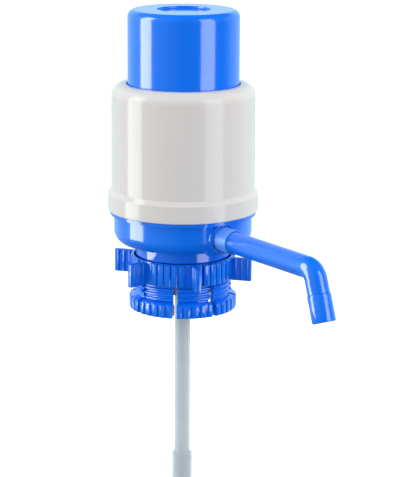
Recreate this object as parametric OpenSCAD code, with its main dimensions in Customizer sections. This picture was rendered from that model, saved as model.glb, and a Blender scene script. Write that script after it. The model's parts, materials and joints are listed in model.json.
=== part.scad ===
// Hand pump for a water jug. Pressing the cap pumps air into the jug through two
// flap valves, and the air drives water up the dip tube and out of the spout.
// The origin is the centre of the seat on the jug's rim, with +Z up. The spout
// points along -Y. All sizes are in millimetres.

/* [Jug neck] */
// Outer diameter of the jug's neck
neck_d = 55; // [50:0.5:58]
// Gap round the neck inside the skirt
neck_clear = 1.1; // [0.6:0.1:1.6]
// Radial width of the neck gasket
gasket_w = 6; // [4:0.5:8]
// Thickness of the neck gasket
gasket_t = 2.5; // [1.5:0.5:4]

/* [Press cap] */
// Room between the cap and the barrel's bore
cap_room = 3.1; // [2:0.1:6]
// Travel of the cap
press_stroke = 50; // [30:1:52]
// Height of the cap that stays above the shell when it is pressed
cap_stand = 5.2; // [3:0.2:12]
// Wall of the cap
cap_wall = 2; // [1.5:0.1:3]
// Rounding of the cap's top edge
cap_edge_r = 5.5; // [3:0.5:8]
// Diameter of the dish in the cap's top
dish_d = 40; // [25:1:50]
// Depth of the dish
dish_depth = 1.8; // [1:0.1:3]

/* [Outer shell] */
// Height of the white shell
shell_h = 95.5; // [90:0.1:110]
// How far the shell draws in from its band to its shoulder
shell_taper = 0.2; // [0.1:0.1:1]
// Wall of the shell
shell_wall = 2.2; // [1.8:0.1:2.4]
// Rounding of the shoulder
shoulder_r = 8.7; // [8:0.1:10]
// Diameter of the flared band at the foot
band_d = 113.6; // [113.2:0.2:116]
// How far the band stands out past the shell's wall
band_out = 2.6; // [1.8:0.1:3]
// Height of the band
band_h = 13; // [10:0.2:18]
// Height of the slope above the band
band_slope = 3.5; // [2:0.5:6]

/* [Barrel and piston] */
// Room between the barrel's bore and the band's outside
barrel_room = 11.8; // [11.6:0.1:13]
// Wall of the barrel
barrel_wall = 1.6; // [1.2:0.1:1.7]
// Height of the piston
piston_h = 12; // [10:0.5:15]
// Wire of the return spring
wire_d = 2.4; // [1.6:0.1:2.6]
// Mean diameter of the return spring
spring_d = 41.2; // [40:0.2:50]
// Turns of the return spring
spring_turns = 8.5; // [6:0.5:9]

/* [Valves] */
// Diameter of a valve flap
flap_d = 24; // [22:0.5:27]
// Thickness of a valve flap
flap_t = 1.5; // [1:0.1:2]
// Travel of a valve flap
flap_travel = 1.5; // [0.8:0.1:2]
// Diameter of one valve port
port_d = 3.6; // [2:0.2:4]

/* [Base] */
// How far the bowl's wall is inside the band's edge
base_inset = 4.5; // [4.3:0.1:4.6]
// Wall of the bowl
base_wall = 2.3; // [2:0.1:2.5]
// Height of the bowl
bowl_h = 25.3; // [25:0.1:30]
// Rounding of the bowl's lower edge
bowl_round_r = 9.5; // [6:0.5:10]
// How far the rim under the shell is inside the band's edge
rim_inset = 1.4; // [0.4:0.1:1.8]
// Thickness of the rim
rim_h = 2.8; // [2:0.1:3]
// How far the neck flange stands out past the neck
flange_out = 8.25; // [7.5:0.25:9.5]
// Height of the neck flange
flange_h = 9.2; // [8:0.2:11]
// Wall of the skirt that centres the neck
skirt_wall = 2.2; // [1.6:0.1:2.4]
// Thickness of the valve deck
deck_t = 2.8; // [2:0.1:4]

/* [Clamp ring] */
// Height of the clamp ring
ring_h = 17.3; // [16:0.1:20]
// Wall of the clamp ring
ring_wall = 1.3; // [1:0.1:2]
// Height of the grip lands on the ring
land_h = 1.1; // [0.6:0.1:1.5]
// How far a wing stands out past the thread
wing_out = 17; // [12:0.5:20]
// Thickness of a wing
wing_t = 3.3; // [2.5:0.1:5]
// Number of wings
wing_count = 6; // [4:1:6]

/* [Collet] */
// Number of collet fingers
finger_count = 8; // [4:4:12]
// How far the thread's ridges stand out past the neck
thread_out = 9.5; // [9:0.1:10]
// Pitch of the thread
thread_pitch = 3.8; // [3:0.1:4]
// Depth of the thread
thread_depth = 1.8; // [1:0.1:2]
// Height of thread that shows under the clamp ring
thread_show = 12.8; // [12.2:0.1:16]
// Turns of the clamp ring from open to tight
clamp_turns = 3; // [1:0.5:3]
// How far the ribbed feet stand out past the thread
foot_out = 3.75; // [2:0.25:5]
// Height of the feet
foot_h = 11; // [9:0.5:14]
// Width of the slots between the fingers
slot_w = 3.4; // [2:0.1:4]

/* [Spout] */
// Diameter of the swivel sleeve
sleeve_d = 18.4; // [18:0.1:19]
// How far the boss stands out past the bowl
boss_out = 1.7; // [0.7:0.1:5.7]
// Length of the sleeve that shows
sleeve_show = 13.5; // [10:0.5:24]
// Diameter of the tube at the sleeve
tube_root_d = 16.4; // [16.2:0.1:16.6]
// Diameter of the tube at its tip
tube_tip_d = 16; // [15.2:0.1:16.1]
// Wall of the tube
tube_wall = 1.7; // [1.4:0.1:2]
// Length from the sleeve to the tube's corner
tube_run = 93.8; // [48:0.1:128]
// Bend of the tube in degrees
bend_deg = 70.5; // [50:0.5:90]
// Radius of the bend's centre line
bend_r = 10.5; // [9.5:0.5:14]
// Length from the corner to the mouth
leg_len = 37.5; // [34:0.1:60]
// Diameter of the nozzle
nozzle_d = 17; // [16.8:0.1:18.4]
// Length of the nozzle
nozzle_len = 20; // [14:0.5:22]

/* [Dip tube] */
// Outer diameter of the dip tube
dip_d = 12; // [10:0.1:13]
// Wall of the dip tube
dip_wall = 1.4; // [1:0.1:2]
// Length of one dip tube section
dip_len = 170; // [80:5:240]
// Length of the coupler
coupler_len = 30; // [20:1:50]

/* [Hidden] */
$fn = 96;
eps = 0.01;
over = 1;
lap = 0.5;

// Clearances
fit_gap = 0.05;   // a seated round part in its bore
run_gap = 0.06;   // a part that turns in its bore
seat_gap = 0.3;   // two parts that move against each other, at rest
slide_gap = 0.5;  // the collet round the skirt
lip_gap = 1;      // the cap in the shell's lip

// Small parts
flange_lift = 3;          // the neck flange's underside above the seat
floor_t = 2;              // floor of the neck flange
port_count = 6;
port_circle_r = 8;
stem_r = 2;
stem_head_r = 3.2;
stem_flange_r = 5;
stem_head_t = 1.4;
seal_section_r = 1.17;
post_count = 3;
post_r = 4.2;
screw_r = 1.2;
screw_head_r = 2.9;
screw_head_t = 2.4;
screw_grip = 12;
deck_screw_count = 4;
deck_screw_r = 1.05;
deck_head_r = 2.15;
deck_head_t = 1.8;
deck_screw_grip = 10;
deck_post_r = 3;
hole_ease = 0.45;         // a screw in its clearance hole
spring_ring_w = 1.6;
spring_ring_h = 3;
gasket_flat = 0.8;        // thickness of the barrel gasket
deck_gasket_t = 1;
spigot_h = 7.3;
spigot_wall = 1.6;
spigot_gap = 0.4;
snap_r = 0.8;
foot_round = 1;

// Levels, from the seat upwards
flange_top = flange_lift + flange_h;
deck_low_z = flange_top + bowl_h + deck_gasket_t;
rim_z = flange_top + bowl_h;
deck_z = deck_low_z + deck_t;
barrel_z = deck_z + gasket_flat;
lip_z = rim_z + shell_h;
lip_under_z = lip_z - shell_wall;
piston_top_z = lip_under_z - seat_gap;
piston_z = piston_top_z - piston_h;
plate_z = piston_z + 1.5;
plate_t = 2.5;
plate_top_z = plate_z + plate_t;
cap_top_z = lip_z + press_stroke + cap_stand;

// Radii
band_r = band_d / 2;
band_in_r = band_r - shell_wall;
shell_low_r = band_r - band_out;
shell_r = shell_low_r - shell_taper;
bore_r = band_r - barrel_room;
barrel_r = bore_r + barrel_wall;
piston_r = bore_r - seat_gap;
cap_r = bore_r - cap_room;
lip_r = cap_r + lip_gap;
groove_depth = 2 * seal_section_r - seat_gap + fit_gap + eps;
base_r = band_r - base_inset;
bowl_r = base_r - base_wall;
rim_r = band_r - rim_inset;
spigot_r = band_in_r - spigot_gap;
spigot_in_r = spigot_r - spigot_wall;
deck_r = spigot_in_r - spigot_gap;
barrel_flange_r = deck_r - spigot_gap;
deck_screw_circle_r = barrel_r + deck_head_r + 0.4;
barrel_flange_t = 2;
barrel_top_z = lip_under_z - 1;
neck_r = neck_d / 2;
flange_r = neck_r + flange_out;
well_r = flange_r - base_wall;
skirt_in_r = neck_r + neck_clear;
skirt_r = skirt_in_r + skirt_wall;
gasket_r = skirt_in_r - 0.6;
gasket_in_r = gasket_r - gasket_w;
flap_r = flap_d / 2;
spring_r = spring_d / 2;
wire_r = wire_d / 2;
post_circle_r = (spring_r + wire_r + cap_r - cap_wall) / 2;
turn_facets = 8;
spring_ring_r = spring_r * cos(180 / turn_facets) - wire_r - 0.6;

// Neck clamp
thrust_gap = 0.3;
ring_top_z = flange_lift - thrust_gap;
ring_z = ring_top_z - ring_h;
thread_r = neck_r + thread_out;
thread_root_r = thread_r - thread_depth;
ring_bore_r = thread_r + 0.35;
ring_r = ring_bore_r + ring_wall;
land_r = ring_r + land_h;
clamp_rise = clamp_turns * thread_pitch;
foot_top_z = ring_z - thread_show;
foot_z = foot_top_z - foot_h;
collet_top_z = ring_top_z - clamp_rise;
collet_in_r = skirt_r + slide_gap;
collet_relief_r = collet_in_r + 1.3;
collet_lip_t = 2.6;
foot_r = thread_r + foot_out;
pad_r = neck_r + 0.8;
pad_top_z = foot_top_z - 1;
key_count = 4;
key_w = 3;
key_h = 1.2;
hook_top_z = collet_top_z - collet_lip_t - seat_gap;
hook_t = 1.8;
hook_deg = 18;
skirt_z = hook_top_z - hook_t;
slot_top_z = hook_top_z - 3;

// Spout
sleeve_r = sleeve_d / 2;
socket_bore_r = sleeve_r + run_gap;
socket_wall = 2.34;
boss_r = socket_bore_r + socket_wall;
mouth_r = sleeve_r + 1;
mouth_depth = 3.5;
boss_reach = base_r + boss_out;
sleeve_reach = boss_reach + sleeve_show;
corner_reach = sleeve_reach + tube_run;
socket_start = well_r - 0.65;
spout_z = rim_z - rim_h - boss_r + 1;
clip_t = 1.2;
clip_start = socket_start - seat_gap - clip_t;
sleeve_start = clip_start - 1.4;
clip_groove_r = sleeve_r - 1;
clip_r = sleeve_r + 1.6;
collar_start = boss_reach - mouth_depth + seat_gap;
collar_r = mouth_r - seat_gap;
collar_t = 1.2;
seal_thin_r = 0.6;
socket_seal_at = boss_reach - 8.7;
spigot_bore_r = 6.2;
spigot_end = boss_reach - 4;
tube_plug_start = boss_reach + 1;
tube_root_r = tube_root_d / 2;
tube_tip_r = tube_tip_d / 2;
tube_bore_r = tube_tip_r - tube_wall;
bend_tangent = bend_r * tan(bend_deg / 2);
straight_end = corner_reach - bend_tangent;
leg_straight = leg_len - bend_tangent;
nozzle_r = nozzle_d / 2;
nozzle_socket_r = tube_tip_r - 0.7;
nozzle_plug_len = 8;
outlet_r = tube_bore_r - 0.6;

// Water path in the base
dip_r = dip_d / 2;
dip_bore_r = dip_r - dip_wall;
dip_socket_r = dip_r + fit_gap;
hub_r = dip_r + 3;
hub_low_z = -16;
dip_stop_z = -1;
elbow_plug_r = 7;
elbow_plug_z = 5;
hub_top_z = 13;
water_r = 4.4;
elbow_r = 7.4;
elbow_bend_r = 8;
elbow_collar_t = 1.5;
spigot_start = socket_start - 6;
spigot_pipe_r = spigot_bore_r - 0.3;
spigot_pipe_end = spigot_end - 4;
elbow_seal_at = spigot_pipe_end - 5;
elbow_seal_r = 0.45;

// Dip tube levels
web_t = 2;
coupler_r = dip_r + 1.6;
upper_low_z = dip_stop_z - dip_len;
lower_top_z = upper_low_z - web_t;
lower_low_z = lower_top_z - dip_len;
strainer_r = dip_r + 2;
strainer_grip = 12;
strainer_drop = 15;
strainer_slots = 8;

BLUE = "#0c67e6";
WHITE = "#e6e4e0";

// ---- shared forms ----

// A half section from the axis to r, with its upper outer edge rounded
module round_top_2d(r, z_low, z_high, edge_r) {
  translate([0, z_low]) square([r, z_high - edge_r - z_low]);
  translate([0, z_low]) square([r - edge_r, z_high - z_low]);
  translate([r - edge_r, z_high - edge_r]) circle(edge_r);
}

// A half section of a tube
module wall_2d(r_in, r_out, z_low, z_high) {
  translate([r_in, z_low]) square([r_out - r_in, z_high - z_low]);
}

module tube(r_in, r_out, z_low, z_high) {
  rotate_extrude() wall_2d(r_in, r_out, z_low, z_high);
}

module rod(r, z_low, z_high) {
  translate([0, 0, z_low]) cylinder(r = r, h = z_high - z_low);
}

module ring_of(count, start = 0) {
  for (i = [0:count - 1]) rotate(start + i * 360 / count) children();
}

module o_ring(inner_r, section_r) {
  rotate_extrude() translate([inner_r + section_r, 0]) circle(section_r);
}

// Turns a form built up the Z axis so that it points along the spout
module along_spout() {
  translate([0, 0, spout_z]) rotate([90, 0, 0]) children();
}

module valve_ports(z_low, z_high) {
  ring_of(port_count) translate([port_circle_r, 0, 0]) rod(port_d / 2, z_low, z_high);
  rod(stem_r + fit_gap, z_low, z_high);
}

// A flap that hangs under a ported plate, with a sealing bead at its rim
module flap(plate_under_z) {
  top = plate_under_z - seat_gap;
  bead = 0.4;
  difference() {
    rod(flap_r, top - flap_t, top);
    rod(stem_r + 0.1, top - flap_t - over, top + over);
    rotate_extrude() wall_2d(port_circle_r + port_d / 2, flap_r - 1.2, top - bead, top + over);
  }
}

// The pin that a flap slides on, with its snap head on top of the plate
module keeper(plate_under_z, plate_over_z) {
  stop = plate_under_z - seat_gap - flap_t - flap_travel - 0.2;
  rod(stem_r, stop - eps, plate_over_z + eps);
  rod(stem_head_r, plate_over_z, plate_over_z + stem_head_t);
  rod(stem_flange_r, stop - stem_head_t, stop);
}

module screw_at(head_low_z, head_t, head_r, shank_r, tip_z, head_up) {
  slot = 0.7;
  shank_end = head_up ? head_low_z : head_low_z + head_t;
  difference() {
    rod(head_r, head_low_z, head_low_z + head_t);
    for (turn = [0, 90]) {
      rotate(turn)
        translate([-head_r * 0.6, -slot / 2, head_up ? head_low_z + head_t - 1 : head_low_z - over])
          cube([head_r * 1.2, slot, 1 + over]);
    }
  }
  rod(shank_r, min(tip_z, shank_end), max(tip_z, shank_end));
}

// ---- plunger ----

module press_cap() color(BLUE) {
  inner_r = cap_r - cap_wall;
  dish_r = dish_d / 2;
  dish_round = 1.2;
  dish_z = cap_top_z - dish_depth;
  notch_w = 8;
  notch_h = shell_wall - 0.4;
  rib_t = 1.6;
  rib_h = 12;
  roof_z = cap_top_z - cap_wall;
  difference() {
    union() {
      difference() {
        rotate_extrude() difference() {
          round_top_2d(cap_r, piston_top_z, cap_top_z, cap_edge_r);
          difference() {
            round_top_2d(inner_r, piston_top_z - over, roof_z, cap_edge_r - cap_wall);
            translate([0, dish_z - cap_wall]) square([dish_r + cap_wall, dish_depth + cap_wall]);
          }
        }
        ring_of(6, 30)
          translate([inner_r - over, -notch_w / 2, piston_top_z - over])
            cube([cap_wall + 2 * over, notch_w, notch_h + over]);
      }
      ring_of(post_count) {
        translate([post_circle_r, 0, 0]) rod(post_r, plate_top_z, roof_z + lap);
        translate([post_circle_r, -rib_t / 2, roof_z - rib_h])
          cube([inner_r - post_circle_r + lap, rib_t, rib_h + lap]);
      }
    }
    ring_of(post_count) translate([post_circle_r, 0, 0])
      rod(screw_r + fit_gap, plate_top_z - over, plate_top_z + screw_grip + over);
    rotate_extrude() {
      translate([0, dish_z + dish_round]) square([dish_r, dish_depth]);
      translate([0, dish_z]) square([dish_r - dish_round, dish_depth]);
      translate([dish_r - dish_round, dish_z + dish_round]) circle(dish_round);
    }
  }
}

module piston() color("white") {
  cup_wall = 2.2 + groove_depth;
  rib_t = 1.6;
  rib_h = 4.5;
  groove_z = plate_top_z - seal_section_r;
  hub = stem_head_r + 3;
  difference() {
    union() {
      tube(piston_r - cup_wall, piston_r, piston_z, piston_top_z);
      rod(piston_r - cup_wall + eps, plate_z, plate_top_z);
      tube(spring_ring_r - spring_ring_w, spring_ring_r, plate_z - spring_ring_h, plate_z + eps);
      ring_of(6, 30)
        translate([hub, -rib_t / 2, plate_top_z - eps])
          cube([piston_r - cup_wall - hub + eps, rib_t, rib_h]);
    }
    tube(piston_r - groove_depth, piston_r + over, groove_z, groove_z + 2 * seal_section_r + 0.6);
    valve_ports(plate_z - over, plate_top_z + over);
    ring_of(post_count) translate([post_circle_r, 0, 0])
      rod(screw_r + hole_ease, plate_z - over, plate_top_z + over);
  }
}

module piston_seal() color("#202020") {
  translate([0, 0, plate_top_z + 0.3])
    o_ring(piston_r - groove_depth + eps, seal_section_r);
}

module plunger_screws() color("silver") {
  ring_of(post_count) translate([post_circle_r, 0, 0])
    screw_at(plate_z - screw_head_t, screw_head_t, screw_head_r, screw_r,
      plate_top_z + screw_grip, false);
}

module intake_valve() color("#303030") flap(plate_z);

module intake_keeper() color("white") keeper(plate_z, plate_top_z);

// ---- return spring ----

spring_low_z = deck_z + wire_r;
spring_high_z = plate_z - wire_r;
dead_turns = 1;
dead_pitch = wire_d + 0.7;
live_pitch = (spring_high_z - spring_low_z - 2 * dead_turns * dead_pitch)
  / (spring_turns - 2 * dead_turns);
wire_sides = 6;

// Height of the wire's centre after t turns
function spring_height(t) =
  t < dead_turns ? spring_low_z + t * dead_pitch :
  t > spring_turns - dead_turns ? spring_high_z - (spring_turns - t) * dead_pitch :
  spring_low_z + dead_turns * dead_pitch + (t - dead_turns) * live_pitch;

function spring_point(t) =
  [spring_r * cos(360 * t), spring_r * sin(360 * t), spring_height(t)];

spring_rings = round(spring_turns * turn_facets);
spring_path = [for (i = [0:spring_rings]) spring_point(i / turn_facets)];

// One ring of the wire, square to the helix
function wire_ring(i) =
  let (turn = i / turn_facets, c = spring_path[i])
  [for (k = [0:wire_sides - 1])
    let (a = 360 * k / wire_sides + 30)
    [c[0] + wire_r * cos(a) * cos(360 * turn),
     c[1] + wire_r * cos(a) * sin(360 * turn),
     c[2] + wire_r * sin(a)]];

spring_gap = min([for (i = [0:spring_rings - turn_facets], j = [i + turn_facets - 2:spring_rings])
  norm(spring_path[i] - spring_path[j])]) - wire_d;
echo(least_gap_in_spring = spring_gap);

module return_spring() color("silver") {
  points = [for (i = [0:spring_rings]) each wire_ring(i)];
  last = spring_rings * wire_sides;
  sides = [for (i = [0:spring_rings - 1], k = [0:wire_sides - 1])
    let (a = i * wire_sides + k, b = i * wire_sides + (k + 1) % wire_sides)
    each [[a, a + wire_sides, b], [b, a + wire_sides, b + wire_sides]]];
  start_cap = [for (k = [1:wire_sides - 2]) [0, k, k + 1]];
  end_cap = [for (k = [1:wire_sides - 2]) [last, last + k + 1, last + k]];
  polyhedron(points, concat(sides, start_cap, end_cap));
}

// ---- barrel and shell ----

module pump_barrel() color("white") {
  hoop = 0.9;
  hoop_t = 1.4;
  difference() {
    rotate_extrude() difference() {
      union() {
        wall_2d(bore_r, barrel_r, barrel_z, barrel_top_z);
        wall_2d(bore_r, barrel_flange_r, barrel_z, barrel_z + barrel_flange_t);
        for (share = [0.33, 0.66])
          translate([barrel_r - eps, barrel_z + share * (barrel_top_z - barrel_z)])
            square([hoop, hoop_t]);
      }
      polygon([[bore_r - eps, barrel_top_z - 1.6], [bore_r + 0.8, barrel_top_z + eps],
        [bore_r - eps, barrel_top_z + eps]]);
    }
    ring_of(deck_screw_count, 45) translate([deck_screw_circle_r, 0, 0])
      rod(deck_screw_r + hole_ease, barrel_z - over, barrel_z + barrel_flange_t + over);
  }
}

module barrel_gasket() color("#303030")
  tube(bore_r + 0.2, deck_screw_circle_r - deck_screw_r - hole_ease - 0.3, deck_z, barrel_z);

// The space under a curve that follows the shell, inset by t
module shell_2d(t) {
  centre_r = shell_r - shoulder_r;
  centre_z = lip_z - shoulder_r;
  slope_z = rim_z + band_h;
  polygon([[0, rim_z - (t > 0 ? over : 0)], [band_r - t, rim_z - (t > 0 ? over : 0)],
    [band_r - t, slope_z - t / 2], [shell_low_r - t, slope_z + band_slope - t / 2],
    [shell_r - t, centre_z], [0, centre_z]]);
  translate([0, centre_z - eps]) square([centre_r, shoulder_r - t + eps]);
  intersection() {
    translate([centre_r, centre_z]) circle(shoulder_r - t);
    translate([0, centre_z - eps]) square([shell_r, shoulder_r + over]);
  }
}

module outer_shell() color(WHITE) {
  guide_r = barrel_r + 0.4;
  guide_wall = 1.4;
  guide_h = 5;
  rotate_extrude() {
    difference() {
      shell_2d(0);
      shell_2d(shell_wall);
      translate([0, lip_under_z - over]) square([lip_r, shell_wall + 2 * over]);
      translate([spigot_r, rim_z + spigot_h / 2]) circle(snap_r + 0.3);
      difference() {
        translate([band_r - foot_round, rim_z - eps]) square(foot_round + over);
        translate([band_r - foot_round, rim_z + foot_round]) circle(foot_round);
        translate([0, rim_z + foot_round]) square([band_r + over, foot_round + 2 * over]);
      }
    }
    intersection() {
      wall_2d(guide_r, guide_r + guide_wall, lip_under_z - guide_h - 1.8, lip_z);
      shell_2d(shell_wall / 2);
    }
  }
}

// ---- base and deck ----

module valve_deck() color("white") {
  rib_t = 1.6;
  rib_h = 2;
  rib_from = flap_r + 2;
  rib_to = deck_screw_circle_r - deck_post_r - 1.5;
  difference() {
    union() {
      rod(deck_r, deck_low_z, deck_z);
      tube(spring_ring_r - spring_ring_w, spring_ring_r, deck_z - eps, deck_z + spring_ring_h);
      ring_of(8, 22.5)
        translate([rib_from, -rib_t / 2, deck_low_z - rib_h])
          cube([rib_to - rib_from, rib_t, rib_h + eps]);
    }
    valve_ports(deck_low_z - over, deck_z + over);
    ring_of(deck_screw_count, 45) translate([deck_screw_circle_r, 0, 0])
      rod(deck_screw_r + hole_ease, deck_low_z - over, deck_z + over);
  }
}

module deck_gasket() color("#303030")
  tube(deck_screw_circle_r + deck_screw_r + 0.3, deck_r, rim_z, deck_low_z);

module deck_screws() color("silver") {
  head_z = barrel_z + barrel_flange_t;
  ring_of(deck_screw_count, 45) translate([deck_screw_circle_r, 0, 0])
    screw_at(head_z, deck_head_t, deck_head_r, deck_screw_r, deck_low_z - deck_screw_grip, true);
}

module outlet_valve() color("#303030") flap(deck_low_z);

module outlet_keeper() color("white") keeper(deck_low_z, deck_z);

// The bowl's solid outline, and the space inside it
module bowl_2d(r, z_low, edge_r, z_high) {
  translate([0, z_low]) square([r - edge_r, z_high - z_low]);
  translate([0, z_low + edge_r]) square([r, z_high - z_low - edge_r]);
  translate([r - edge_r, z_low + edge_r]) circle(edge_r);
}

module base_outline_2d() {
  cove = 2;
  bowl_2d(base_r, flange_top, bowl_round_r, rim_z);
  wall_2d(0, rim_r, rim_z - rim_h, rim_z);
  wall_2d(0, flange_r, flange_lift, flange_top + eps);
  difference() {
    wall_2d(flange_r - eps, flange_r + cove, flange_top - cove, flange_top + eps);
    translate([flange_r + cove, flange_top - cove]) circle(cove);
  }
}

module boss_flare() {
  flare = 4.6;
  depth = 7;
  intersection() {
    along_spout() rotate_extrude() difference() {
      wall_2d(0, boss_r + flare, boss_reach - depth, boss_reach);
      translate([boss_r + flare, boss_reach - 0.8]) circle(flare);
      wall_2d(boss_r, boss_r + flare + over, boss_reach - 0.8, boss_reach + over);
    }
    rod(rim_r + over, flange_top - 1, rim_z);
  }
}

module base_housing() color(BLUE) {
  air_hole_r = 2.6;
  air_circle_r = 15;
  lip_rib = 1;
  difference() {
    union() {
      difference() {
        union() {
          rotate_extrude() base_outline_2d();
          boss_flare();
        }
        rotate_extrude() {
          bowl_2d(bowl_r, flange_top + base_wall, bowl_round_r - base_wall, rim_z + over);
          wall_2d(0, well_r, flange_lift + floor_t, flange_top + base_wall + over);
        }
      }
      tube(spigot_in_r, spigot_r, rim_z - eps, rim_z + spigot_h);
      translate([0, 0, rim_z + spigot_h / 2])
        rotate_extrude() translate([spigot_r - 0.2, 0]) circle(snap_r);
      rod(hub_r, hub_low_z, hub_top_z);
      tube(skirt_in_r, skirt_r, skirt_z, flange_lift + eps);
      tube(hub_r - eps, skirt_in_r + eps, gasket_t, flange_lift + eps);
      tube(gasket_in_r - lip_rib - 0.2, gasket_in_r - 0.2, gasket_t / 3, gasket_t + eps);
      ring_of(deck_screw_count, 45) translate([deck_screw_circle_r, 0, 0])
        rod(deck_post_r, flange_top + bowl_round_r, rim_z - lap);
      along_spout() rod(boss_r, socket_start, base_r - base_wall);
      ring_of(key_count, 45)
        translate([skirt_r - eps, -key_w / 2, collet_top_z - collet_lip_t])
          cube([key_h, key_w, flange_lift + eps - collet_top_z + collet_lip_t]);
      skirt_hooks();
    }
    rod(dip_socket_r, hub_low_z - over, dip_stop_z);
    rod(water_r, dip_stop_z - over, elbow_plug_z + over);
    rod(elbow_plug_r + fit_gap, elbow_plug_z, hub_top_z + over);
    ring_of(6) translate([air_circle_r, 0, 0])
      rod(air_hole_r, gasket_t - over, flange_lift + floor_t + over);
    ring_of(deck_screw_count, 45) translate([deck_screw_circle_r, 0, 0])
      rod(deck_screw_r + fit_gap, deck_low_z - deck_screw_grip - over, rim_z + over);
    along_spout() {
      rod(socket_bore_r, socket_start - over, boss_reach + over);
      rod(mouth_r, boss_reach - mouth_depth, boss_reach + over);
    }
  }
}

// Hooks at the skirt's end that the collet's lip rests on
module skirt_hooks() {
  hook_r = collet_relief_r - 0.5;
  ring_of(key_count, 90)
    intersection() {
      tube(skirt_r - eps, hook_r, skirt_z, hook_top_z);
      rotate(-hook_deg / 2) rotate_extrude(angle = hook_deg)
        wall_2d(skirt_in_r, hook_r + over, skirt_z - over, hook_top_z + over);
    }
}

module neck_gasket() color("#303030") {
  bevel = 0.4;
  rotate_extrude()
    polygon([[gasket_in_r + bevel, 0], [gasket_r - bevel, 0], [gasket_r, bevel],
      [gasket_r, gasket_t], [gasket_in_r, gasket_t], [gasket_in_r, bevel]]);
}

// ---- water path ----

module water_elbow() color("white") {
  bend_z = spout_z - elbow_bend_r;
  plug_low_z = elbow_plug_z + 0.2;
  difference() {
    union() {
      rod(elbow_plug_r, plug_low_z, bend_z);
      rod(elbow_r, hub_top_z + elbow_collar_t - eps, bend_z);
      rod(hub_r, hub_top_z, hub_top_z + elbow_collar_t);
      elbow_turn(elbow_r);
      along_spout() rod(elbow_r, elbow_bend_r, spigot_start);
      along_spout() rod(spigot_pipe_r, spigot_start - eps, spigot_pipe_end);
    }
    rod(water_r, plug_low_z - over, bend_z + eps);
    elbow_turn(water_r);
    along_spout() rod(water_r, elbow_bend_r - eps, spigot_pipe_end + over);
    along_spout() tube(elbow_seal_groove_r, spigot_pipe_r + over, elbow_seal_at - 0.7,
      elbow_seal_at + 0.7);
  }
}

elbow_seal_groove_r = spigot_bore_r - 2 * elbow_seal_r - 0.08;

// A quarter turn from the riser to the spout's line
module elbow_turn(r) {
  translate([0, -elbow_bend_r, spout_z - elbow_bend_r])
    rotate([90, 0, 90])
      rotate_extrude(angle = 90) translate([elbow_bend_r, 0]) circle(r);
}

module elbow_seal() color("#202020")
  along_spout() translate([0, 0, elbow_seal_at])
    o_ring(elbow_seal_groove_r + eps, elbow_seal_r);

// ---- spout ----

socket_seal_groove_r = socket_bore_r - 2 * seal_thin_r - 0.06;

module socket_seal() color("#202020")
  along_spout() translate([0, 0, socket_seal_at])
    o_ring(socket_seal_groove_r + eps, seal_thin_r);

module spout_sleeve() color(BLUE) {
  edge = 0.8;
  tube_socket_r = tube_root_r - 0.4;
  along_spout() rotate_extrude() difference() {
    union() {
      round_top_2d(sleeve_r, sleeve_start, sleeve_reach, edge);
      wall_2d(0, collar_r, collar_start, collar_start + collar_t);
    }
    wall_2d(0, spigot_bore_r, sleeve_start - over, spigot_end);
    wall_2d(0, tube_bore_r, spigot_end - over, tube_plug_start + over);
    wall_2d(0, tube_socket_r, tube_plug_start, sleeve_reach - 1.2);
    wall_2d(0, tube_root_r + 0.3, sleeve_reach - 1.2 - eps, sleeve_reach + over);
    wall_2d(clip_groove_r, sleeve_r + over, clip_start - 0.1, clip_start + clip_t + 0.1);
    wall_2d(socket_seal_groove_r, sleeve_r + over, socket_seal_at - 0.8, socket_seal_at + 0.8);
  }
}

module sleeve_clip() color("silver") {
  opening = 70;
  along_spout() rotate(90 + opening / 2)
    rotate_extrude(angle = 360 - opening)
      wall_2d(clip_groove_r + fit_gap, clip_r, clip_start, clip_start + clip_t);
}

// Puts a form at the tube's corner, pointing down the lower leg
module along_leg() {
  translate([0, -straight_end, spout_z - bend_r])
    rotate([bend_deg, 0, 0])
      translate([0, 0, bend_r])
        rotate([90, 0, 0]) children();
}

// A round form that follows the tube's bend, and goes on by reach degrees at both ends
module spout_bend(r, reach = 0) {
  translate([0, -straight_end, spout_z - bend_r])
    rotate([90, 0, -90])
      rotate([0, 0, 90 - bend_deg - reach])
        rotate_extrude(angle = bend_deg + 2 * reach) translate([bend_r, 0]) circle(r);
}

// Straight, bend and leg, with a fine mould line where each meets the next
module spout_tube() color(BLUE) {
  tip_start = leg_straight - nozzle_len;
  plug_end = tip_start + nozzle_plug_len - 0.2;
  tube_start = sleeve_reach - 1.1;
  plug_r = tube_root_r - 0.4 - fit_gap;
  plug_start = tube_plug_start + 0.2;
  line = 0.2;
  core_r = tube_tip_r - line;
  difference() {
    union() {
      along_spout() rotate_extrude()
        polygon([[0, plug_start], [plug_r, plug_start], [plug_r, tube_start],
          [tube_root_r, tube_start], [tube_tip_r, straight_end - line], [core_r, straight_end],
          [core_r, straight_end + line], [0, straight_end + line]]);
      spout_bend(tube_tip_r);
      along_leg() rotate_extrude()
        polygon([[0, -line], [core_r, -line], [core_r, 0], [tube_tip_r, line],
          [tube_tip_r, tip_start], [nozzle_socket_r, tip_start], [nozzle_socket_r, plug_end],
          [0, plug_end]]);
    }
    along_spout() rod(tube_bore_r, plug_start - over, straight_end);
    spout_bend(tube_bore_r - line, 1);
    along_leg() rod(tube_bore_r, 0, plug_end + over);
  }
}

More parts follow.
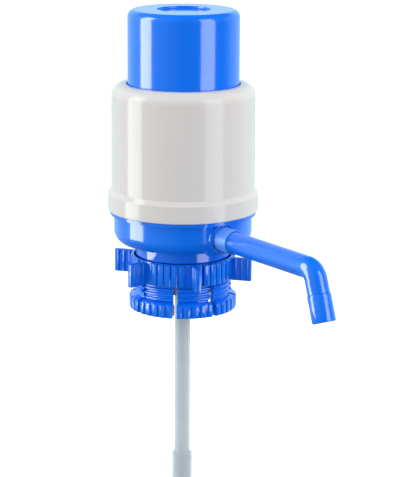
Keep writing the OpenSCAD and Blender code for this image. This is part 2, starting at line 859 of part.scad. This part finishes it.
module spout_nozzle() color(BLUE) {
  start = leg_straight - nozzle_len;
  chamfer = 0.5;
  along_leg() rotate_extrude() difference() {
    union() {
      wall_2d(0, nozzle_r, start + chamfer, leg_straight - chamfer);
      polygon([[0, start], [nozzle_r - chamfer, start], [nozzle_r, start + chamfer + eps],
        [0, start + chamfer + eps]]);
      polygon([[0, leg_straight - chamfer - eps], [nozzle_r, leg_straight - chamfer - eps],
        [nozzle_r - chamfer, leg_straight], [0, leg_straight]]);
    }
    wall_2d(0, nozzle_socket_r + fit_gap, start - over, start + nozzle_plug_len);
    wall_2d(0, outlet_r, start, leg_straight + over);
  }
}

// ---- neck clamp ----

module clamp_ring() color(BLUE) {
  mouth = 1.8;
  difference() {
    union() {
      tube(ring_bore_r, ring_r, ring_z, ring_top_z);
      ring_of(wing_count, wing_start_deg) {
        grip_lands();
        wing();
      }
    }
    rod(ring_bore_r, ring_z - over, ring_top_z + over);
    translate([0, 0, ring_z - eps])
      cylinder(r1 = ring_bore_r + 0.8, r2 = ring_bore_r, h = mouth);
  }
}

wing_start_deg = 8.6;

// Raised grip lands between one wing and the next
module grip_lands() {
  lands = 5;
  wing_room = 10;
  step = (360 / wing_count - 2 * wing_room) / lands;
  groove = 1.1;
  inset = 0.3;
  for (i = [0:lands - 1])
    rotate(wing_room + groove / 2 + i * step)
      rotate_extrude(angle = step - groove)
        polygon([[ring_r - 0.4, ring_z + inset], [land_r, ring_z + inset],
          [land_r, ring_top_z - 1.2], [land_r - 0.9, ring_top_z - inset],
          [ring_r - 0.4, ring_top_z - inset]]);
}

module wing() {
  tip_r = thread_r + wing_out;
  top = ring_top_z - 0.3;
  low = ring_z - 0.4;
  root_r = ring_bore_r + 0.5;
  rib_r = 1;
  rib_count = 3;
  rib_step = (tip_r - 0.6 - land_r) / rib_count;
  translate([root_r, -wing_t / 2, low]) cube([tip_r - root_r, wing_t, top - low]);
  for (side = [-1, 1], k = [0:rib_count - 1])
    translate([land_r + (k + 0.5) * rib_step, side * (wing_t / 2 - 0.1), 0])
      rod(rib_r, low + 0.5, top - 0.5);
}

// The four corners of one level thread ridge
function ridge_points(k) =
  let (z = foot_top_z + (k + 0.85) * thread_pitch,
    ridge = thread_pitch * 0.15,
    foot = thread_pitch * 0.37)
  [[thread_root_r, z - foot], [thread_r, z - ridge], [thread_r, z + ridge],
    [thread_root_r, z + foot]];

module neck_collet() color(BLUE) {
  shoulder = 1.5;
  grooves = 5;
  groove_w = 1.8;
  groove_d = 1.2;
  ridges = floor((collet_top_z - foot_top_z) / thread_pitch - 1.25) + 1;
  difference() {
    rotate_extrude()
      polygon(concat(
        [[collet_in_r, collet_top_z], [collet_in_r, collet_top_z - collet_lip_t],
          [collet_relief_r, collet_top_z - collet_lip_t], [collet_relief_r, pad_top_z],
          [pad_r, pad_top_z - 3.5], [pad_r, foot_z + 1], [pad_r + 1, foot_z],
          [foot_r - 0.8, foot_z], [foot_r, foot_z + 0.8], [foot_r, foot_top_z - shoulder],
          [thread_r, foot_top_z], [thread_root_r, foot_top_z]],
        [for (k = [0:ridges - 1]) each ridge_points(k)],
        [[thread_root_r, collet_top_z]]));
    ring_of(finger_count, slot_start_deg)
      translate([pad_r - 2 * over, -slot_w / 2, foot_z - over])
        cube([foot_r - pad_r + 4 * over, slot_w, slot_top_z - foot_z + over]);
    ring_of(key_count, 45)
      translate([collet_in_r - over, -key_w / 2 - 0.3, collet_top_z - collet_lip_t - over])
        cube([over + key_h, key_w + 0.6, collet_lip_t + 2 * over]);
    ring_of(finger_count, slot_start_deg)
      for (k = [1:grooves - 1])
        rotate(k * 360 / finger_count / grooves)
          translate([foot_r - groove_d, -groove_w / 2, foot_z - over])
            cube([groove_d + over, groove_w, foot_h + over - shoulder * 0.4]);
  }
}

slot_start_deg = 1.8;

// ---- dip tube ----

module dip_tube_upper() color("#dfe8ee")
  tube(dip_bore_r, dip_r, upper_low_z, dip_stop_z - 0.1);

module tube_coupler() color("#dfe8ee") {
  middle = upper_low_z - web_t / 2;
  difference() {
    rod(coupler_r, middle - coupler_len / 2, middle + coupler_len / 2);
    rod(dip_bore_r, middle - coupler_len, middle + coupler_len);
    rod(dip_socket_r, upper_low_z - 0.1, middle + coupler_len);
    rod(dip_socket_r, middle - coupler_len, lower_top_z + 0.1);
  }
}

module dip_tube_lower() color("#dfe8ee")
  tube(dip_bore_r, dip_r, lower_low_z, lower_top_z);

module foot_strainer() color("white") {
  top = lower_low_z + strainer_grip;
  low = lower_low_z - strainer_drop;
  taper_h = 3;
  floor_h = 2;
  slit_w = 2;
  slit_h = strainer_drop - taper_h - 3;
  difference() {
    rotate_extrude()
      polygon([[0, low], [strainer_r - 2, low], [strainer_r, low + taper_h],
        [strainer_r, top], [0, top]]);
    rod(dip_socket_r, lower_low_z, top + over);
    rod(dip_bore_r, low + floor_h, lower_low_z + over);
    rod(dip_bore_r / 2, low - over, low + floor_h + over);
    ring_of(strainer_slots)
      translate([dip_bore_r - over, -slit_w / 2, low + taper_h + 0.5])
        cube([strainer_r - dip_bore_r + 2 * over, slit_w, slit_h]);
  }
}

press_cap();
piston();
piston_seal();
plunger_screws();
intake_valve();
intake_keeper();
return_spring();
pump_barrel();
barrel_gasket();
outer_shell();
valve_deck();
deck_gasket();
deck_screws();
outlet_valve();
outlet_keeper();
base_housing();
water_elbow();
elbow_seal();
socket_seal();
spout_sleeve();
sleeve_clip();
spout_tube();
spout_nozzle();
neck_gasket();
clamp_ring();
neck_collet();
dip_tube_upper();
tube_coupler();
dip_tube_lower();
foot_strainer();
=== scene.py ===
"""Looks of the water jug hand pump: moulded plastics, rubber, steel and frosted tube, in metres."""

import json
from math import atan2, cos, hypot, pi, radians, sin, tan

import bmesh
import bpy
from mathutils import Matrix, Vector

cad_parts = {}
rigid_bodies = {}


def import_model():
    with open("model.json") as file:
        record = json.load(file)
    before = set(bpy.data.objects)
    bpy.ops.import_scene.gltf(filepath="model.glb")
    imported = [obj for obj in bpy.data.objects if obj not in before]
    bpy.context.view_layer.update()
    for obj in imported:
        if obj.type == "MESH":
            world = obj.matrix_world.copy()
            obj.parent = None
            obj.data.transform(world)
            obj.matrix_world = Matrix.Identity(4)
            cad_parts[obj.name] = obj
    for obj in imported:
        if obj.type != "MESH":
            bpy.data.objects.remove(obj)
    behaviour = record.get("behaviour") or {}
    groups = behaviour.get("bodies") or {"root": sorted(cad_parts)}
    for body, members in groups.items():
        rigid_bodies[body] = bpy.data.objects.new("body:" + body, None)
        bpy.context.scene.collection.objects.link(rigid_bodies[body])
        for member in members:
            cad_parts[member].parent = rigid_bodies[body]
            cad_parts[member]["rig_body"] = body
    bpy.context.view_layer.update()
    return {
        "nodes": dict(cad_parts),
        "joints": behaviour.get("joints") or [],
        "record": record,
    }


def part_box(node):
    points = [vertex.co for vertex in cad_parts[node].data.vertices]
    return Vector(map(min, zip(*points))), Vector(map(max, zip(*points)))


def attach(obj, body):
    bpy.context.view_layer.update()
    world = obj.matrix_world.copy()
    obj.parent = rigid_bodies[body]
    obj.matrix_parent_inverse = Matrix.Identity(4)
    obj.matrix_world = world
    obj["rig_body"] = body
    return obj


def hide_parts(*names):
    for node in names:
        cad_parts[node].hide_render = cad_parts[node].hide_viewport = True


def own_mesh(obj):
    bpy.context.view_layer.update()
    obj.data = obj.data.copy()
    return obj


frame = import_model()
nodes = frame["nodes"]
MM = 0.001
UP = Vector((0, 0, 1))

# ---------------------------------------------------------------- sizes and light levels

# The photograph's frame, and the camera that took it
PHOTO_W, PHOTO_H = 410, 477
SENSOR_H = 24.0
FOCAL_PX = 1950
AXIS_PX = 182.3  # where the pump's axis meets the middle row of the picture
VIEW_HEIGHT = 14 * MM  # height of that point on the axis
VIEW_DISTANCE = 1480.8 * MM
VIEW_DOWN = radians(13.4)
VIEW_ROLL = radians(0.38)
SPOUT_TO_VIEW = radians(34.3)  # clockwise from the spout to the camera, seen from above

# Floor
FLOOR_GAP = 2 * MM
FLOOR_HALF = 6.0
FLOOR_GLOW = 0.1

# Gloss sees the room in the floor: more with each metre out, and nothing near the pump
FLOOR_SHINE_RISE = 1.1
FLOOR_SHINE_LAG = 0.3

# Soft light of the room, from both sides
SOFT_LIGHT = 3.9
SOFT_END_LOSS = 3.0  # what is missing of it from the camera's side and from behind
SOFT_LEVEL = 1.12  # its share that comes level
SOFT_TOP_LOSS = 0.85  # what is missing of that share from straight above

# The room as gloss sees it
SHINE_LEFT = 0.7
SHINE_BEHIND = 2.2
SHINE_LEAST = 0.05
BACKDROP_TOP = sin(radians(25))  # height over distance where the white backdrop ends
BACKDROP_FADE = 8  # how fast it ends

# Lamps beside the pump
LAMP_AWAY = 1.1
LAMP_UP = 0.42
LAMP_LENGTH = 1.5

# Spout, along its line from the axis
swivel = next(j for j in frame["joints"] if j["name"] == "spout_swivel")
SPOUT_Z = swivel["pos_m"][2]
SLEEVE_END = 67.5 * MM
TUBE_SEAT_DEPTH = 1.1 * MM
TUBE_PLUG_START = 55.2 * MM
TUBE_PLUG_R = 7.75 * MM
TUBE_ROOT_R = 8.2 * MM
TUBE_TIP_R = 8 * MM
TUBE_WALL = 1.7 * MM
TUBE_CORNER = 161.3 * MM
TUBE_BEND = radians(70.5)
TUBE_BEND_R = 10.5 * MM
TUBE_LEG = 37.5 * MM
TUBE_SIDES = 72
TUBE_STEPS = 10
BEND_STEPS = 18
NOZZLE_LENGTH = 20 * MM
NOZZLE_PLUG = 7.8 * MM
NOZZLE_PLUG_R = 7.3 * MM

# Clamp thread: the points of the collet outside THREAD_R and between the two heights
THREAD_R = 35.15 * MM
THREAD_LOW = -27.3 * MM
THREAD_HIGH = -8.8 * MM
THREAD_PITCH = 3.8 * MM
THREAD_START = pi + radians(1.8)  # in the slot at the back
THREAD_LEVEL = 0.44  # share of its turn at which the thread keeps its height

# Return spring
SPRING_R = 20.6 * MM
WIRE_R = 1.2 * MM
SPRING_LOW = 41.3 * MM
SPRING_HIGH = 120 * MM
SPRING_TURNS = 8.5
DEAD_PITCH = 3.1 * MM
WIRE_SIDES = 12
STEPS_A_TURN = 24

# Clean-up of the CAD meshes, and the corners that are rounded
MERGE_GAP = 0.02 * MM
FLAT_ANGLE = radians(0.2)
CORNER_ANGLE = radians(32)
CORNER_STEPS = 2

# ---------------------------------------------------------------- shader maths


class Value:
    """A socket of a material, so that shader maths reads as maths."""

    def __init__(self, finish, socket):
        self.finish = finish
        self.socket = socket

    def _maths(self, operation, *values):
        return self.finish.node("ShaderNodeMath", values, operation=operation)

    def __add__(self, other):
        return self._maths("ADD", self, other)

    __radd__ = __add__

    def __mul__(self, other):
        return self._maths("MULTIPLY", self, other)

    __rmul__ = __mul__

    def __sub__(self, other):
        return self._maths("SUBTRACT", self, other)

    def __rsub__(self, other):
        return self._maths("SUBTRACT", other, self)

    def clamped(self):
        """The same value, held between 0 and 1."""
        return self._maths("MINIMUM", self._maths("MAXIMUM", self, 0.0), 1.0)


class Finish:
    """A material or world whose nodes are added one by one."""

    def __init__(self, name, world=False):
        kind = bpy.data.worlds if world else bpy.data.materials
        self.data = kind.new(name)
        self.data.use_nodes = True
        self.tree = self.data.node_tree
        self.tree.nodes.clear()

    def node(self, kind, values=(), output=0, **settings):
        """Adds a node, sets it up, fills or links its sockets in order or by name, gives an output."""
        made = self.tree.nodes.new(kind)
        for name, setting in settings.items():
            setattr(made, name, setting)
        pairs = values.items() if isinstance(values, dict) else enumerate(values)
        for key, value in pairs:
            if isinstance(value, Value):
                self.tree.links.new(value.socket, made.inputs[key])
            else:
                made.inputs[key].default_value = value
        return Value(self, made.outputs[output])

    def place(self):
        """Where a point is on the object, in metres."""
        return self.node("ShaderNodeTexCoord", output="Object")

    def noise(self, size, detail=2.0, rough=0.5):
        """Soft noise from 0 to 1, with blotches about size metres across."""
        values = {"Vector": self.place(), "Scale": 1 / size, "Detail": detail, "Roughness": rough}
        return self.node("ShaderNodeTexNoise", values)

    def mix(self, share, first, second):
        """A colour between two colours."""
        values = {0: share, 6: first, 7: second}
        return self.node("ShaderNodeMix", values, output=2, data_type="RGBA")

    def bump(self, height, depth):
        """A normal for hills that rise depth metres where height is 1."""
        return self.node("ShaderNodeBump", {"Distance": depth, "Height": height})

    def dot(self, direction, axis):
        """The cosine of the angle between two directions of length 1."""
        return self.node(
            "ShaderNodeVectorMath", (direction, axis), output="Value", operation="DOT_PRODUCT"
        )

    def output(self, shader, kind="ShaderNodeOutputMaterial"):
        """Ends the nodes in a shader, and gives the material or world."""
        end = self.tree.nodes.new(kind)
        self.tree.links.new(shader.socket, end.inputs["Surface"])
        return self.data


def colour(red, green, blue):
    return (red, green, blue, 1.0)


COOL_WHITE = colour(0.66, 0.97, 1.0)


# ---------------------------------------------------------------- materials


def moulded_plastic(name, shade, pale, rough, gloss, peel, shine=0.5):
    """Moulded plastic: slow flow marks in the colour, orange peel, fine rub marks in the gloss."""
    finish = Finish(name)
    flow = finish.noise(30 * MM, detail=3.0)
    grain = finish.noise(1.2 * MM)
    waves = finish.noise(7 * MM, detail=1.0)
    tint = finish.mix(flow * 0.35, shade, pale)
    rub = finish.noise(4 * MM, detail=6.0, rough=0.7)
    surface = finish.node(
        "ShaderNodeBsdfPrincipled",
        {
            "Base Color": tint,
            "Roughness": rub * 0.06 + rough,
            "Specular IOR Level": shine,
            "Coat Weight": gloss,
            "Coat Roughness": 0.03,
            "Normal": finish.bump(grain * 0.25 + waves, peel),
        },
    )
    return finish.output(surface)


def rubber():
    """Dark seal rubber with a fine dusty grain."""
    finish = Finish("seal_rubber")
    dust = finish.noise(2.5 * MM, detail=6.0, rough=0.75)
    tint = finish.mix(dust, colour(0.018, 0.019, 0.020), colour(0.055, 0.056, 0.058))
    grain = finish.noise(0.6 * MM, detail=3.0)
    surface = finish.node(
        "ShaderNodeBsdfPrincipled",
        {
            "Base Color": tint,
            "Roughness": dust * 0.2 + 0.55,
            "Normal": finish.bump(grain, 0.06 * MM),
        },
    )
    return finish.output(surface)


def steel():
    """Bright drawn steel with a fine mottle."""
    finish = Finish("bright_steel")
    mottle = finish.noise(10 / 9 * MM, detail=3.0)
    tint = finish.mix(mottle, colour(0.52, 0.53, 0.55), colour(0.70, 0.70, 0.71))
    surface = finish.node(
        "ShaderNodeBsdfPrincipled",
        {
            "Base Color": tint,
            "Metallic": 1.0,
            "Roughness": mottle * 0.15 + 0.22,
            "Normal": finish.bump(mottle, 0.02 * MM),
        },
    )
    return finish.output(surface)


def frosted_tube():
    """Milky soft tube that lets some light through."""
    finish = Finish("frosted_tube")
    cloud = finish.noise(16 * MM, detail=3.0)
    tint = finish.mix(cloud, colour(0.55, 0.63, 0.69), colour(0.61, 0.68, 0.73))
    surface = finish.node(
        "ShaderNodeBsdfPrincipled",
        {
            "Base Color": tint,
            "Roughness": cloud * 0.08 + 0.18,
            "Alpha": cloud * 0.06 + 0.57,
            "Normal": finish.bump(cloud, 0.05 * MM),
        },
    )
    return finish.output(surface)


SLEEVE_BLUE = moulded_plastic(
    "sleeve_plastic",
    colour(0.07, 0.26, 0.86),
    colour(0.10, 0.29, 0.90),
    rough=0.32,
    gloss=0.0,
    peel=0.03 * MM,
)
FINISH_OF_SLOT = {
    "blue_plastic": moulded_plastic(
        "blue_plastic",
        colour(0.0005, 0.150, 0.83),
        colour(0.002, 0.182, 0.88),
        rough=0.12,
        gloss=0.4,
        peel=0.02 * MM,
    ),
    "white_plastic": moulded_plastic(
        "white_plastic",
        colour(0.60, 0.588, 0.578),
        colour(0.63, 0.62, 0.61),
        rough=0.10,
        gloss=0.0,
        peel=0.03 * MM,
        shine=0.22,
    ),
    "inner_plastic": moulded_plastic(
        "natural_plastic",
        colour(0.70, 0.70, 0.68),
        colour(0.80, 0.80, 0.78),
        rough=0.42,
        gloss=0.0,
        peel=0.04 * MM,
    ),
    "dark_rubber": rubber(),
    "steel": steel(),
    "frosted_tube": frosted_tube(),
}
SLOT_OF_NODE = {s["node"]: s["material_slot"] for s in frame["record"]["subparts"]}


def finish_of(node):
    """The finish of a node's slot. The swivel sleeve takes its own paler, duller blue."""
    return SLEEVE_BLUE if node == "spout_sleeve" else FINISH_OF_SLOT[SLOT_OF_NODE[node]]


for name, node in nodes.items():
    node.data.materials.clear()
    node.data.materials.append(finish_of(name))

# ---------------------------------------------------------------- pieces


def finished(mesh, name, like):
    """Makes a bmesh a piece that stands for a CAD node, in its finish and on its body."""
    data = bpy.data.meshes.new(name)
    mesh.to_mesh(data)
    mesh.free()
    piece = bpy.data.objects.new(name, data)
    bpy.context.scene.collection.objects.link(piece)
    data.materials.append(finish_of(like))
    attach(piece, nodes[like]["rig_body"])
    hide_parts(like)
    return piece


def rounded(piece, width):
    """Rounds the sharp corners, as a mould leaves them, and shades the rest smooth."""
    for face in piece.data.polygons:
        face.use_smooth = True
    bevel = piece.modifiers.new("corners", "BEVEL")
    bevel.width = width
    bevel.segments = CORNER_STEPS
    bevel.limit_method = "ANGLE"
    bevel.angle_limit = CORNER_ANGLE
    bevel.use_clamp_overlap = False
    bevel.harden_normals = True
    bevel.material = -1
    return piece


def joined_copy(node):
    """A CAD node's shape as one joined mesh of triangles, for a piece that refines it."""
    mesh = bmesh.new()
    mesh.from_mesh(nodes[node].data)
    bmesh.ops.remove_doubles(mesh, verts=mesh.verts, dist=MERGE_GAP)
    bmesh.ops.dissolve_degenerate(mesh, dist=MERGE_GAP, edges=mesh.edges)
    bmesh.ops.dissolve_limit(mesh, angle_limit=FLAT_ANGLE, verts=mesh.verts, edges=mesh.edges)
    bmesh.ops.triangulate(mesh, faces=mesh.faces, quad_method="BEAUTY", ngon_method="BEAUTY")
    return mesh


def threaded_collet():
    """The collet with its thread climbing one pitch a turn. It starts and ends at the back slot."""
    mesh = joined_copy("neck_collet")
    for vertex in mesh.verts:
        x, y, z = vertex.co
        if hypot(x, y) > THREAD_R and THREAD_LOW < z < THREAD_HIGH:
            turn = (atan2(y, x) - THREAD_START) % (2 * pi)
            vertex.co.z += THREAD_PITCH * (turn / (2 * pi) - THREAD_LEVEL)
    return rounded(finished(mesh, "collet_threaded", "neck_collet"), width=0.25 * MM)


def along(distance, drop=0.0):
    """A point on the spout's line, distance out from the axis and drop below it."""
    return Vector((0, -distance, SPOUT_Z - drop))


def bent_tube():
    """The spout tube drawn as one ring pulled along its line and spun round the bend."""
    tangent = TUBE_BEND_R * tan(TUBE_BEND / 2)
    bend_start = TUBE_CORNER - tangent
    leg = TUBE_LEG - tangent - NOZZLE_LENGTH
    down = Vector((0, -cos(TUBE_BEND), -sin(TUBE_BEND)))
    mesh = bmesh.new()
    place = Matrix.Translation(along(TUBE_PLUG_START)) @ Matrix.Rotation(pi / 2, 4, "X")
    bmesh.ops.create_circle(mesh, segments=TUBE_SIDES, radius=TUBE_PLUG_R, matrix=place)
    edges = list(mesh.edges)

    def pull(edges, step, grow, centre):
        """Extrudes the open ring by step, and scales it about the new centre."""
        made = bmesh.ops.extrude_edge_only(mesh, edges=edges)["geom"]
        verts = [g for g in made if isinstance(g, bmesh.types.BMVert)]
        bmesh.ops.translate(mesh, verts=verts, vec=step)
        bmesh.ops.scale(mesh, verts=verts, vec=(grow,) * 3, space=Matrix.Translation(-centre))
        return [g for g in made if isinstance(g, bmesh.types.BMEdge)]

    out = Vector((0, -1, 0))
    seat = SLEEVE_END - TUBE_SEAT_DEPTH
    edges = pull(edges, out * (seat - TUBE_PLUG_START), 1, along(seat))
    edges = pull(edges, Vector(), TUBE_ROOT_R / TUBE_PLUG_R, along(seat))
    for k in range(TUBE_STEPS):
        near = TUBE_ROOT_R + (TUBE_TIP_R - TUBE_ROOT_R) * k / TUBE_STEPS
        far = TUBE_ROOT_R + (TUBE_TIP_R - TUBE_ROOT_R) * (k + 1) / TUBE_STEPS
        reach = seat + (bend_start - seat) * (k + 1) / TUBE_STEPS
        edges = pull(edges, out * ((bend_start - seat) / TUBE_STEPS), far / near, along(reach))
    spun = bmesh.ops.spin(
        mesh,
        geom=edges,
        cent=along(bend_start, TUBE_BEND_R),
        axis=(1, 0, 0),
        dvec=(0, 0, 0),
        angle=TUBE_BEND,
        steps=BEND_STEPS,
        use_merge=False,
        use_duplicate=False,
    )["geom_last"]
    edges = [g for g in spun if isinstance(g, bmesh.types.BMEdge)]
    centre = along(TUBE_CORNER) + down * (tangent + leg)
    edges = pull(edges, down * leg, 1, centre)
    edges = pull(edges, Vector(), NOZZLE_PLUG_R / TUBE_TIP_R, centre)
    centre += down * NOZZLE_PLUG
    pull(edges, down * NOZZLE_PLUG, 1, centre)
    bmesh.ops.recalc_face_normals(mesh, faces=mesh.faces)
    piece = finished(mesh, "bent_tube", "spout_tube")
    wall = piece.modifiers.new("wall", "SOLIDIFY")
    wall.thickness = TUBE_WALL
    wall.offset = -1
    return rounded(piece, width=0.2 * MM)


def coiled_spring():
    """The return spring: open turns, and a dead turn at each end."""
    mesh = bmesh.new()
    place = Matrix.Translation((SPRING_R, 0, SPRING_LOW + WIRE_R)) @ Matrix.Rotation(pi / 2, 4, "X")
    bmesh.ops.create_circle(mesh, segments=WIRE_SIDES, radius=WIRE_R, matrix=place, cap_ends=True)
    edges = list(mesh.edges)
    height = SPRING_HIGH - SPRING_LOW - 2 * WIRE_R
    open_turns = SPRING_TURNS - 2
    open_pitch = (height - 2 * DEAD_PITCH) / open_turns
    for turns, pitch in ((1, DEAD_PITCH), (open_turns, open_pitch), (1, DEAD_PITCH)):
        steps = round(turns * STEPS_A_TURN)
        spun = bmesh.ops.spin(
            mesh,
            geom=edges,
            cent=(0, 0, 0),
            axis=(0, 0, 1),
            dvec=(0, 0, pitch * turns / steps),
            angle=2 * pi * turns,
            steps=steps,
            use_merge=False,
            use_duplicate=False,
        )["geom_last"]
        edges = [g for g in spun if isinstance(g, bmesh.types.BMEdge)]
    bmesh.ops.contextual_create(mesh, geom=edges)
    bmesh.ops.recalc_face_normals(mesh, faces=mesh.faces)
    for face in mesh.faces:
        face.smooth = len(face.verts) == 4
    piece = finished(mesh, "coiled_spring", "return_spring")
    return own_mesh(piece)


threaded_collet()
bent_tube()
coiled_spring()
for node, width in {
    "clamp_ring": 0.15 * MM,
    "spout_sleeve": 0.2 * MM,
    "spout_nozzle": 0.3 * MM,
}.items():
    rounded(finished(joined_copy(node), node + "_rounded", node), width)

# ---------------------------------------------------------------- stage


def pale_floor():
    """Floor under the dip tube's foot: pale to the camera, grey to soft light, the room to gloss."""
    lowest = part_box("foot_strainer")[0].z - FLOOR_GAP
    mesh = bmesh.new()
    bmesh.ops.create_grid(mesh, x_segments=1, y_segments=1, size=FLOOR_HALF)
    bmesh.ops.translate(mesh, verts=mesh.verts, vec=(0, 0, lowest))
    data = bpy.data.meshes.new("pale_floor")
    mesh.to_mesh(data)
    mesh.free()
    floor = bpy.data.objects.new("pale_floor", data)
    bpy.context.scene.collection.objects.link(floor)
    finish = Finish("pale_floor")
    matt = finish.node("ShaderNodeBsdfDiffuse", {"Color": colour(0.92, 0.92, 0.92)})
    glow = finish.node("ShaderNodeEmission", {"Color": colour(1, 1, 1), "Strength": FLOOR_GLOW})
    pale = finish.node("ShaderNodeAddShader", (matt, glow))
    grey = finish.node("ShaderNodeBsdfDiffuse", {"Color": colour(0.38, 0.38, 0.38)})
    outward = finish.node(
        "ShaderNodeVectorMath", (finish.place(),), output="Vector", operation="NORMALIZE"
    )
    reach = finish.node(
        "ShaderNodeVectorMath", (finish.place(),), output="Value", operation="LENGTH"
    )
    far = (reach * FLOOR_SHINE_RISE - FLOOR_SHINE_LAG).clamped()
    mirrored = finish.node(
        "ShaderNodeEmission", {"Color": COOL_WHITE, "Strength": shine_level(finish, outward) * far}
    )
    gloss = finish.node("ShaderNodeLightPath", output="Is Glossy Ray")
    seen = finish.node("ShaderNodeLightPath", output="Is Camera Ray")
    unseen = finish.node("ShaderNodeMixShader", (gloss, grey, mirrored))
    data.materials.append(finish.output(finish.node("ShaderNodeMixShader", (seen, unseen, pale))))


def toward_camera():
    """The level direction from the pump to the camera. The spout points along -Y."""
    angle = -pi / 2 - SPOUT_TO_VIEW
    return Vector((cos(angle), sin(angle), 0))


def camera_left():
    """The level direction to the camera's left."""
    return Matrix.Rotation(-pi / 2, 3, "Z") @ toward_camera()


def shine_level(finish, direction):
    """How bright gloss sees the room: dark by the camera, paler on its left, white backdrop behind."""
    left = finish.dot(direction, camera_left()).clamped()
    behind = finish.dot(direction, -toward_camera()).clamped()
    over = ((finish.dot(direction, UP).clamped() - BACKDROP_TOP) * BACKDROP_FADE).clamped()
    return (left * SHINE_LEFT + behind * (1 - over) * SHINE_BEHIND + SHINE_LEAST).clamped()


def studio_light():
    """Soft light, mostly from both sides. Gloss sees the room instead, and the camera sees white."""
    finish = Finish("studio", world=True)
    direction = finish.node("ShaderNodeTexCoord", output="Generated")
    facing = finish.dot(direction, toward_camera())
    end_on = finish.node("ShaderNodeMath", (facing,), operation="ABSOLUTE")
    up = finish.dot(direction, UP).clamped()
    soft = (SOFT_LIGHT - end_on * SOFT_END_LOSS) * (SOFT_LEVEL - up * SOFT_TOP_LOSS)
    soft_room = finish.node("ShaderNodeBackground", {"Color": colour(1, 1, 1), "Strength": soft})
    shine = shine_level(finish, direction)
    shine_room = finish.node("ShaderNodeBackground", {"Color": COOL_WHITE, "Strength": shine})
    gloss = finish.node("ShaderNodeLightPath", output="Is Glossy Ray")
    room = finish.node("ShaderNodeMixShader", (gloss, soft_room, shine_room))
    white = finish.node("ShaderNodeBackground", {"Color": colour(1, 1, 1), "Strength": 1.0})
    seen = finish.node("ShaderNodeLightPath", output="Is Camera Ray")
    both = finish.node("ShaderNodeMixShader", (seen, room, white))
    bpy.context.scene.world = finish.output(both, "ShaderNodeOutputWorld")


def strip_light(name, turn, width, level, tint):
    """A tall lamp beside the pump that shows in gloss alone, as an upright streak."""
    lamp = bpy.data.lights.new(name, "AREA")
    lamp.shape = "RECTANGLE"
    lamp.size = width
    lamp.size_y = LAMP_LENGTH
    lamp.color = tint
    lamp.energy = level * pi * lamp.size * lamp.size_y
    away = Matrix.Rotation(turn, 3, "Z") @ toward_camera()
    piece = bpy.data.objects.new(name, lamp)
    piece.location = away * LAMP_AWAY + UP * LAMP_UP
    piece.rotation_euler = away.to_track_quat("Z", "Y").to_euler()
    piece.visible_diffuse = False
    piece.visible_camera = False
    bpy.context.scene.collection.objects.link(piece)


def photo_camera():
    """The photograph's view: its focal length, height, turn and slight roll."""
    lens = bpy.data.cameras.new("photo_camera")
    lens.sensor_fit = "VERTICAL"
    lens.sensor_height = SENSOR_H
    lens.lens = FOCAL_PX / PHOTO_H * SENSOR_H
    lens.clip_end = 30
    back = toward_camera()
    centre = UP * VIEW_HEIGHT
    place = centre + VIEW_DISTANCE * (back * cos(VIEW_DOWN) + UP * sin(VIEW_DOWN))
    aside = atan2(PHOTO_W / 2 - AXIS_PX, FOCAL_PX)
    look = (Matrix.Rotation(-aside, 3, "Z") @ -back) * cos(VIEW_DOWN) - UP * sin(VIEW_DOWN)
    camera = bpy.data.objects.new("photo_camera", lens)
    turn = look.to_track_quat("-Z", "Y").to_matrix() @ Matrix.Rotation(VIEW_ROLL, 3, "Z")
    camera.matrix_world = Matrix.Translation(place) @ turn.to_4x4()
    bpy.context.scene.collection.objects.link(camera)
    bpy.context.scene.camera = camera


pale_floor()
studio_light()
strip_light("left_strip", turn=radians(-82), width=0.55, level=8.5, tint=(1.0, 0.99, 0.96))
strip_light("right_strip", turn=radians(50), width=0.6, level=4.6, tint=(0.95, 0.95, 1.0))
photo_camera()

view = bpy.context.scene.view_settings
view.view_transform = "Standard"
